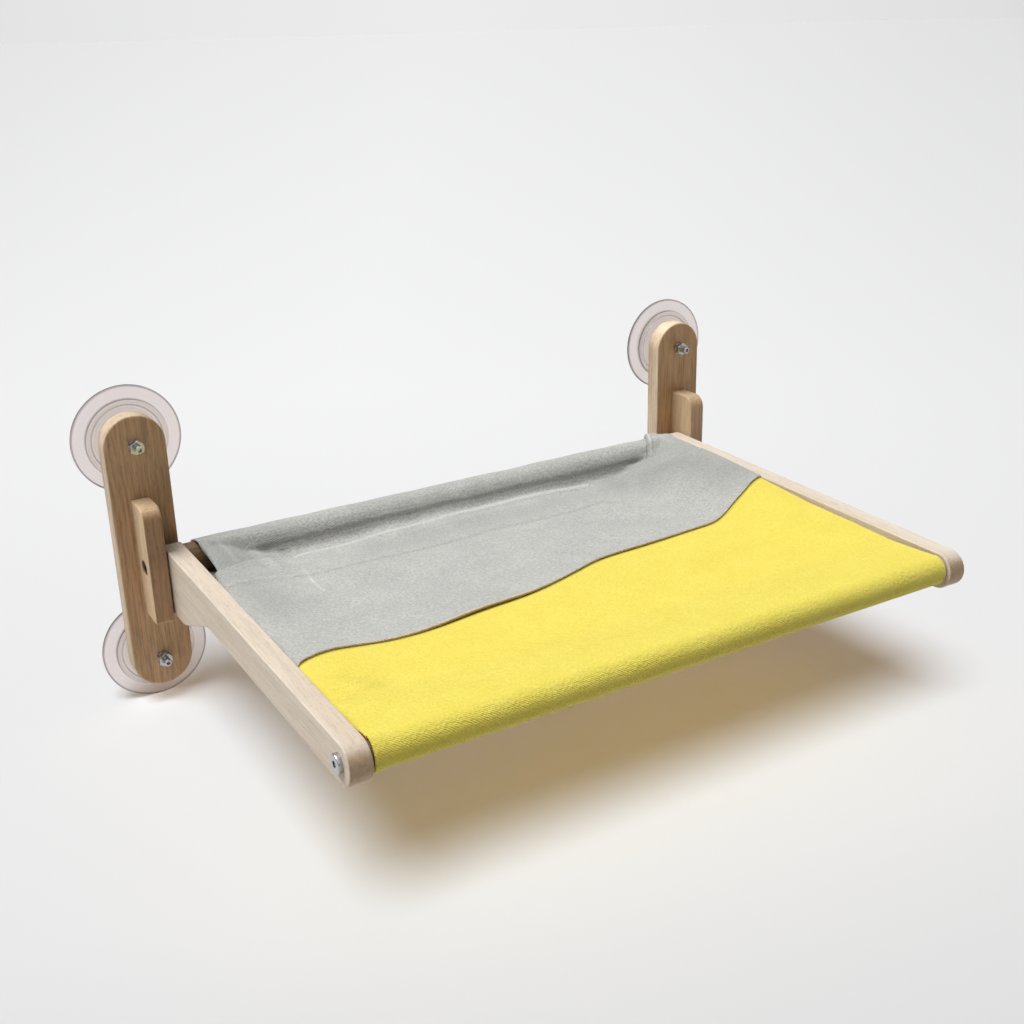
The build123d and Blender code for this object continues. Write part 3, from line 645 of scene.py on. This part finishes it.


# %% [markdown]
# The grey cloth has the hem allowance and the crease that press through along the rear, the folds
# that fan out from its two rear corners, and one long pale fold. Broad marks with no height paint
# shade between the crease and the hem allowance and at both rear corners, and the grooves get painted
# shade too. The yellow cloth is calmer: a few broad pulls towards its corners and towards the seam.

# %% Marks on the grey and the yellow cloth
# Above zero a mark pales the cloth, partly wear and partly painted highlight; below zero it paints shade in
# folds and grooves
GREY_MARKS = [
    step(
        [(-165, -103), (-149, -103.5), (-45, -105.5), (2, -100.5), (42, -104), (74, -105.5), (114, -100)],
        1.6, 0.45, -0.2),
    ridge([(-149, -62), (-90, -61), (-23, -59.5), (17, -58), (79, -57), (124, -58)], 1.8, 0.7, 0.4),
    # These four marks have no height and only paint shade: between the crease and the hem allowance, and at
    # the rear corners
    ridge([(-95, -82), (-20, -80), (60, -80), (100, -78)], 17.0, 0.0, -0.22),
    ridge([(150, -75), (205, -95), (212, -140)], 26.0, 0.0, -0.42),
    ridge([(180, -50), (214, -60)], 16.0, 0.0, -0.25),
    ridge([(-215, -50), (-205, -110), (-205, -160)], 24.0, 0.0, -0.28),
    ridge([(-60, -71), (-20, -70), (30, -68), (60, -69)], 2.5, 0.5, 0.0),
    step([(-222, -113), (-200, -108), (-168, -103)], 4.0, 0.9, 0.0),
    ridge([(-219, -110), (-200, -106), (-168, -101)], 2.0, 0.3, 0.15),
    ridge([(-155, -89), (-157, -110), (-158.5, -122), (-159, -139)], 0.55, 0.25, 0.75),
    ridge([(-208, -53), (-168, -52)], 4.0, -2.0, -0.15),
    ridge([(-178, -53), (-172, -82)], 4.0, 0.8, 0.08),
    ridge([(-190, -48), (-182, -84)], 4.0, -1.2, -0.1),
    ridge([(-204, -52), (-200, -78)], 2.5, 0.9, 0.2),
    ridge([(-160, -50), (-148, -66)], 4.0, -1.0, -0.1),
    ridge([(150, -68), (196, -120)], 7.0, 0.8, 0.0),
    ridge([(192, -74), (212, -96)], 3.5, 0.7, 0.1),
    ridge([(165, -72), (150, -92)], 4.0, 0.6, 0.1),
    ridge([(178, -60), (205, -86)], 5.0, -0.9, 0.0),
]
YELLOW_MARKS = [
    ridge([(-112, -331), (10, -332)], 2.0, 0.3, 0.0),
    # The two grooves at the left paint shade along them
    ridge([(-205, -280), (-188, -300)], 7.0, -0.8, -0.12),
    ridge([(-222, -306), (-204, -303), (-190, -297)], 4.5, -1.3, -0.08),
    ridge([(-228, -293), (-205, -288), (-190, -280)], 4.0, 0.9, 0.0),
    ridge([(-228, -325), (-200, -322)], 4.0, 0.8, 0.0),
    ridge([(60, -262), (150, -240)], 9.0, 0.9, 0.0),
    ridge([(-30, -300), (90, -268)], 9.0, -0.8, 0.0),
    ridge([(120, -300), (200, -262)], 7.0, 0.8, 0.0),
    ridge([(-120, -270), (-60, -262)], 8.0, 0.6, 0.0),
]


def marks_at(marks, x, y):
    """All marks of one cloth with the slow waves: the lift at each place, and its paling and painted shade.
    """
    lifts, rubs = zip(*(mark(x, y) for mark in marks))
    return sum(lifts) + slow_waves(x, y) * ease(-345, -325, y), sum(rubs)


print("marks:", len(GREY_MARKS), "on the grey cloth,", len(YELLOW_MARKS), "on the yellow")

# %% [markdown]
# ## Sewing the panels
# A panel is a grid: rows run along the cloth from the pocket's hidden hem to the other end, and
# columns run across. Numpy works out the middle of the cloth for all places at once, and a Solidify
# modifier gives it its thickness.

# %% A grid of cloth
def cloth_grid(name, places, paled_and_shaded, cut):
    """A mesh from an array of rows, columns and coordinates in millimetres, and its two shades."""
    rows, columns, _ = places.shape
    index = np.arange(rows * columns).reshape(rows, columns)
    faces = np.stack([index[:-1, :-1], index[:-1, 1:], index[1:, 1:], index[1:, :-1]], axis=-1).reshape(-1, 4)
    mesh = bpy.data.meshes.new(name)
    mesh.from_pydata((places.reshape(-1, 3) * MM).tolist(), [], faces.tolist())
    mesh.shade_smooth()
    for shade_name, values in (("paled_and_shaded", paled_and_shaded), ("cut", cut)):
        mesh.attributes.new(shade_name, "FLOAT", "POINT").data.foreach_set("value", values.ravel())
    made = bpy.data.objects.new(name, mesh)
    scene.collection.objects.link(made)
    lengths = np.linalg.norm(np.diff(places, axis=0), axis=2).sum(0)
    widths = np.linalg.norm(np.diff(places, axis=1), axis=2).sum(1)
    print(name, "is", round(widths.max()), "mm wide and", round(lengths.max()), "mm long, flat")
    return made


def thicken(cloth, thickness):
    """Give a panel its thickness, half on each side."""
    solidify = cloth.modifiers.new("thickness", "SOLIDIFY")
    solidify.thickness = thickness * MM
    solidify.offset = 0
    solidify.use_even_offset = True


# %% [markdown]
# The sling is a little narrower at the rear than in front, and both its sides are hemmed, so they
# roll down. Columns lie closer at the right, where the turned corner needs sharp edges.

# %% Edges of the sling
LEFT_EDGE = [(-23, -219.3), (-56, -219.3), (-80, -221.0), (-110, -223.6), (-200, -225.2), (-366, -226.6)]
RIGHT_EDGE = 225.9
LEFT_ROLL, RIGHT_ROLL = 3.2, 1.4
CORNER_SHARE = 0.885
PLAIN_COLUMNS, CORNER_COLUMNS = 330, 110
SETTLING_TURNS = 3
across_shares = np.concatenate([
    np.linspace(0, CORNER_SHARE, PLAIN_COLUMNS, endpoint=False),
    np.linspace(CORNER_SHARE, 1, CORNER_COLUMNS),
])


def across(y):
    """Places across the sling, for one y or for a y at each column."""
    return along_table(y, LEFT_EDGE) * (1 - across_shares) + RIGHT_EDGE * across_shares


def flat_rows(run, start_line, end_line):
    """The rows of a flat part, in x and y, from one line across the sling to another.

    The sling's width depends on y, and the lines depend on x, so both are worked out in turns."""
    x = across(REAR_ROD[0]) + 0 * run
    for _ in range(SETTLING_TURNS):
        y = start_line(x) * (1 - run) + end_line(x) * run
        x = across(y)
    return x, y


def rolled_hem(x, y):
    """How far the cloth turns down at its two sides, where it is hemmed."""
    from_left, from_right = x - along_table(y, LEFT_EDGE), RIGHT_EDGE - x
    left_turn = LEFT_ROLL * np.clip(1 - from_left / LEFT_ROLL, 0, 1) ** 2
    right_turn = RIGHT_ROLL * np.clip(1 - from_right / RIGHT_ROLL, 0, 1) ** 2
    return -(left_turn + right_turn) * ease(-44, -60, y)


def smooth_path(points, steps):
    """A smooth curve through control points, for every column at once."""
    path = []
    padded = [2 * points[0] - points[1], *points, 2 * points[-1] - points[-2]]
    for before, start, end, after in zip(padded, padded[1:], padded[2:], padded[3:]):
        for s in np.arange(steps) / steps:
            path.append(
                0.5 * (2 * start + (end - before) * s
                + (2 * before - 5 * start + 4 * end - after) * s**2
                + (3 * start - before - 3 * end + after) * s**3)
            )
    path.append(points[-1])
    return path


print("columns across:", len(across_shares))

# %% [markdown]
# The grey panel starts at its hem under the sling, goes back under the rear dowel, round it and over
# its top, falls down to the crease, and then runs forward to the seam. At the hem the side sections
# only pull near the edges, and further along they reach as far in as they do on the flat part.

# %% The grey pocket
POCKET_STEPS = 9
LEFT_WALL_PULL, RIGHT_WALL_PULL = -172, 192
PULL_STATION, LIFT_STATION = 8, 7
line_up = across(REAR_ROD[0])
stations = list(zip(LEFT_POCKET, MIDDLE_POCKET, RIGHT_POCKET))
pocket_points = []
for station, points in enumerate(stations):
    left_point, middle_point, right_point = (np.array(point, float)[:, None] for point in points)
    near_flat = ease(PULL_STATION, len(stations) - 1, station)
    left_start = LEFT_WALL_PULL * (1 - near_flat) - FLAT_PULL * near_flat
    right_start = RIGHT_WALL_PULL * (1 - near_flat) + FLAT_PULL * near_flat
    left_pull, right_pull = pulls(line_up, left_start, right_start)
    middle_pull = 1 - left_pull - right_pull
    place = left_pull * left_point + middle_pull * middle_point + right_pull * right_point
    place[1] += along_table(line_up, CREASE_LIFT) * ease(LIFT_STATION, len(stations) - 2, station)
    pocket_points.append(place.T)
pocket = np.array(smooth_path(pocket_points, POCKET_STEPS))
pocket_y, pocket_z = pocket[..., 0], pocket[..., 1]
pocket_x = line_up + 0 * pocket_y
print("rows round the rear dowel:", len(pocket))

# %% [markdown]
# The part of the pocket that shows swells a little. At the right its corner is turned over the
# pocket's end, so the cloth stands up in a step there, along a slanted hem with a sewn bead. All of
# it is added square to the dowel, as a distance outwards from its middle.

# %% The turned corner
HEM_LINE = [
    (-20, 214.0), (-28, 210.0), (-38, 204.0), (-48, 197.4), (-55, 191.3), (-58, 187.1), (-61.4, 182.9),
    (-75, 170.0),
]
HEM_HEIGHT, HEM_BEAD, HEM_VALLEY = 3.8, 0.9, 0.8
HEM_SLANT = 0.8
path_row = np.arange(len(pocket))[:, None]
shown = ease(4.2 * POCKET_STEPS, 6 * POCKET_STEPS, path_row)
hem_fade = shown * ease(88, 74, path_row)
ripple = 0.35 * (1 + np.sin(pocket_x / 17 + 1.5 * np.sin(pocket_x / 43))) * ease(-60, 60, pocket_x)
swell = ripple + 0.2 * np.sin(pocket_x / 7.5 + pocket_y / 9)
past_hem = (pocket_x - along_table(pocket_y, HEM_LINE)) * HEM_SLANT
bead = HEM_BEAD * hump(past_hem, 1.1, 1.2)
settle = 1 - 0.7 * ease(3, 17, past_hem)
valley = HEM_VALLEY * hump(past_hem, 11, 2.6)
hem = (HEM_HEIGHT * settle + bead - valley) * ease(-0.3, 0.3, past_hem)
outwards = (swell * shown + hem * hem_fade) * ease(226, 214, pocket_x)

# Painted light on the turned corner: a highlight on the hem's bead and a shadow in the gap just before it
hem_painted_light = 0.45 * hump(past_hem, 0.9, 0.9) - 1.0 * hump(past_hem, -0.8, 0.6)
# Painted shade on the pocket's left end
left_painted_shade = -0.22 * ease(-125, -175, pocket_x) * ease(-27, -40, pocket_y)
pocket_painted_light = hem_painted_light * hem_fade + left_painted_shade * shown
out_y, out_z = pocket_y - REAR_ROD[0], pocket_z - REAR_ROD[1]
out = np.hypot(out_y, out_z)
pocket_y, pocket_z = pocket_y + outwards * out_y / out, pocket_z + outwards * out_z / out
print("the turned corner stands", round(float(outwards.max()), 1), "mm proud")

# %% [markdown]
# From the crease the grey cloth runs to the seam, where it is lifted by the yellow cloth under it.
# Its cut rim is a narrow strip of its own colour, wider where the cloth curls up.

# %% The grey flat part, and the panel
GREY_ROWS = 190
SEAM_LIFT = [
    (-229, 0.3), (-140, 0.4), (-95, 1.5), (-55, 1.3), (-20, 0.5), (60, 0.7), (130, 0.4), (229, 0.2),
]
RIM_WIDTH = [(-229, 0.3), (-190, 0.7), (-150, 1.5), (-60, 1.5), (-10, 0.7), (60, 0.5), (229, 0.4)]
crease_y = pocket_y[-1]
run = np.linspace(0, 1, GREY_ROWS)[1:, None]
flat_x, flat_y = flat_rows(run, lambda x: crease_y, seam_at)
flat_z = sling_height(flat_x, flat_y) + CLOTH / 2
flat_z = flat_z + along_table(flat_x, SEAM_LIFT) * ease(9, 0, flat_y - seam_at(flat_x))

grey_x = np.vstack([pocket_x, flat_x])
grey_y = np.vstack([pocket_y, flat_y])
grey_z = np.vstack([pocket_z, flat_z])
grey_row = np.arange(len(grey_y))[:, None]
seen = ease(-41, -52, grey_y) * (grey_row > 7 * POCKET_STEPS)
lift, paled_and_shaded = marks_at(GREY_MARKS, grey_x, grey_y)
paled_and_shaded = seen * paled_and_shaded
paled_and_shaded[:len(pocket)] += pocket_painted_light
grey_z = grey_z + seen * (lift + rolled_hem(grey_x, grey_y))
rim_width = along_table(grey_x, RIM_WIDTH)
in_rim = ease(rim_width + 0.5, rim_width - 0.4, grey_y - seam_at(grey_x))
cut = in_rim * (grey_row > len(pocket))
grey_panel = cloth_grid("grey_panel_cloth", np.stack([grey_x, grey_y, grey_z], axis=-1), paled_and_shaded, cut)
thicken(grey_panel, CLOTH)
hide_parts("grey_panel")
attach(grey_panel, "sling_frame")

# %% [markdown]
# The yellow panel starts under the grey one, runs forward over the top of the front dowel, goes
# round it and comes back underneath to its hem. Its ends flare a little on the dowel, and a painted
# shadow darkens it right under the grey rim.

# %% The yellow panel
YELLOW_ROWS, WRAP_ROWS, HEM_ROWS = 130, 44, 30
POCKET_HEM = -308.0
WRAP_TURN = math.pi * 0.96
END_FLARE = 0.9
run = np.linspace(0, 1, YELLOW_ROWS)[:, None]
flat_x, flat_y = flat_rows(run, lambda x: seam_at(x) + SEAM_LAP, lambda x: FRONT_ROD[0])
lift, paled_and_shaded = marks_at(YELLOW_MARKS, flat_x, flat_y)
# A painted shadow darkens the yellow just in front of the grey rim
paled_and_shaded = paled_and_shaded - 0.9 * hump(flat_y - seam_at(flat_x), -0.4, 1.3)
under_grey = CLOTH / 2 * ease(-340, -300, flat_y)
side_roll = rolled_hem(flat_x, flat_y) * ease(-350, -335, flat_y)
flat_z = sling_height(flat_x, flat_y) + lift + side_roll - under_grey

front_x = flat_x[-1]
flare = END_FLARE * np.maximum(ease(-214, -226, front_x), 0.4 * ease(217, 226, front_x))
turn = np.linspace(0, WRAP_TURN, WRAP_ROWS)[1:, None]
wrap_y = FRONT_ROD[0] - (FRONT_WRAP + flare) * np.sin(turn)
wrap_z = FRONT_ROD[1] + (FRONT_WRAP + flare) * np.cos(turn) + flare * 0.5
hem_run = np.linspace(0, 1, HEM_ROWS)[1:, None]
hem_end = sling_height(front_x, POCKET_HEM) - 1.5 * CLOTH
hem_y = wrap_y[-1] * (1 - hem_run) + POCKET_HEM * hem_run
hem_z = wrap_z[-1] * (1 - hem_run) + hem_end * hem_run

yellow_x = np.vstack([flat_x, front_x + 0 * wrap_y, front_x + 0 * hem_y])
yellow_y = np.vstack([flat_y, wrap_y, hem_y])
yellow_z = np.vstack([flat_z, wrap_z, hem_z])
yellow_paled_and_shaded = np.zeros(yellow_x.shape)
yellow_paled_and_shaded[:YELLOW_ROWS] = paled_and_shaded
yellow_places = np.stack([yellow_x, yellow_y, yellow_z], axis=-1)
yellow_panel = cloth_grid("yellow_panel_cloth", yellow_places, yellow_paled_and_shaded, 0 * yellow_paled_and_shaded)
thicken(yellow_panel, CLOTH)
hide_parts("yellow_panel")
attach(yellow_panel, "sling_frame")

# %% [markdown]
# ## Cloth
# Both panels are a soft brushed canvas. Close up it is a fine pebble with a hint of slanted threads,
# from afar a faint mottle. Marks pale the cloth, partly as wear and partly as painted highlight, and
# darken it with painted shade, and the cut rim is tan. Some light gets through, which colours the
# floor beneath, so a share of a translucent shader is mixed in.

# %% A brushed canvas finish
MOTTLE_SCALE, FUZZ_SCALE, TWILL_SCALE, PEBBLE_SCALE = 38.0, 520.0, 290.0, 560.0
PAINTED_SHADE_DEPTH = 0.45


def canvas(name, colour, mottle_dark, paled_colour, cut_colour, let_through, glow_tint, fleck, grain, pebble):
    """Brushed canvas: a fine pebble and twill in its relief, a faint mottle in its colour."""
    material, tree, shader = new_finish(name, 0.9)
    shader.inputs["Sheen Weight"].default_value = 0.22
    shader.inputs["Sheen Roughness"].default_value = 0.5
    shader.inputs["Specular IOR Level"].default_value = 0.2
    place = add(tree, "ShaderNodeTexCoord").outputs["Object"]
    mottle = noise(tree, place, MOTTLE_SCALE, 6.0, Roughness=0.6)
    fuzz = noise(tree, place, FUZZ_SCALE, 3.0, Roughness=0.6)
    twill = add(
        tree, "ShaderNodeTexWave", {"bands_direction": "DIAGONAL"}, Vector=place, Scale=TWILL_SCALE,
        Distortion=3.0, Detail=2.0, **{"Detail Scale": 1.4}).outputs["Fac"]
    grains = add(
        tree, "ShaderNodeTexVoronoi", {"feature": "SMOOTH_F1"}, Vector=place,
        Scale=PEBBLE_SCALE).outputs["Distance"]

    fuzz_shade = ramp(tree, fuzz, (0.32, 1.0 - fleck), (0.64, 1.0 + fleck / 2))
    twill_shade = ramp(tree, twill, (0.1, 1.0 - fleck / 2), (0.7, 1.0))
    grain_shade = ramp(tree, grains, (0.2, 1.0), (0.65, 1.0 - grain))
    tone = ramp(tree, mottle, (0.35, mottle_dark), (0.65, colour))
    tone = times(tree, tone, fuzz_shade, twill_shade, grain_shade)

    # Above zero a mark pales the cloth, partly wear and partly painted highlight; below zero it is painted
    # shade
    paling_and_shade = add(tree, "ShaderNodeAttribute", {"attribute_name": "paled_and_shaded"}).outputs["Fac"]
    tone = mix(tree, ramp(tree, paling_and_shade, (0.0, 0.0), (1.0, 1.0)), tone, paled_colour)
    deep = number(tree, "MULTIPLY", paling_and_shade, -1.0)
    tone = mix(tree, ramp(tree, deep, (0.0, 0.0), (1.0, 1.0)), tone, tuple(c * PAINTED_SHADE_DEPTH for c in mottle_dark))
    rim = add(tree, "ShaderNodeAttribute", {"attribute_name": "cut"}).outputs["Fac"]
    tone = mix(tree, ramp(tree, rim, (0.75, 0.0), (0.95, 1.0)), tone, cut_colour)
    tree.links.new(tone, shader.inputs["Base Color"])

    bumps = mix(tree, 0.6, fuzz, grains)
    emboss(tree, shader, mix(tree, 0.2, bumps, twill), pebble, 1.0)
    glow = add(tree, "ShaderNodeBsdfTranslucent", Color=times(tree, tone, glow_tint))
    shared = add(tree, "ShaderNodeMixShader", _0=let_through, _1=shader.outputs[0], _2=glow.outputs[0])
    tree.links.new(shared.outputs[0], tree.nodes["Material Output"].inputs["Surface"])
    return material


grey_canvas = canvas(
    "grey_canvas", (0.505, 0.505, 0.48), (0.46, 0.46, 0.438), (0.70, 0.70, 0.68), (0.60, 0.50, 0.39),
    let_through=0.2, glow_tint=(1.0, 0.93, 0.8), fleck=0.18, grain=0.11, pebble=0.9)
yellow_canvas = canvas(
    "yellow_canvas", (0.91, 0.82, 0.145), (0.885, 0.79, 0.125), (1.0, 0.9, 0.3), (0.75, 0.62, 0.2),
    let_through=0.38, glow_tint=(0.75, 0.52, 0.6), fleck=0.035, grain=0.05, pebble=1.0)
grey_panel.data.materials.append(grey_canvas)
yellow_panel.data.materials.append(yellow_canvas)
print("cloth finishes:", [m.name for m in (grey_canvas, yellow_canvas)])

# %% [markdown]
# ## Lighting the pieces
# A lamp with light linking lights only what its collection holds. The frame's lamp gets the CAD
# pieces, and the cloth's lamp the two panels.

# %% Lighting the pieces
for piece in nodes.values():
    lit_frame.objects.link(piece)
for panel in (grey_panel, yellow_panel):
    lit_cloth.objects.link(panel)
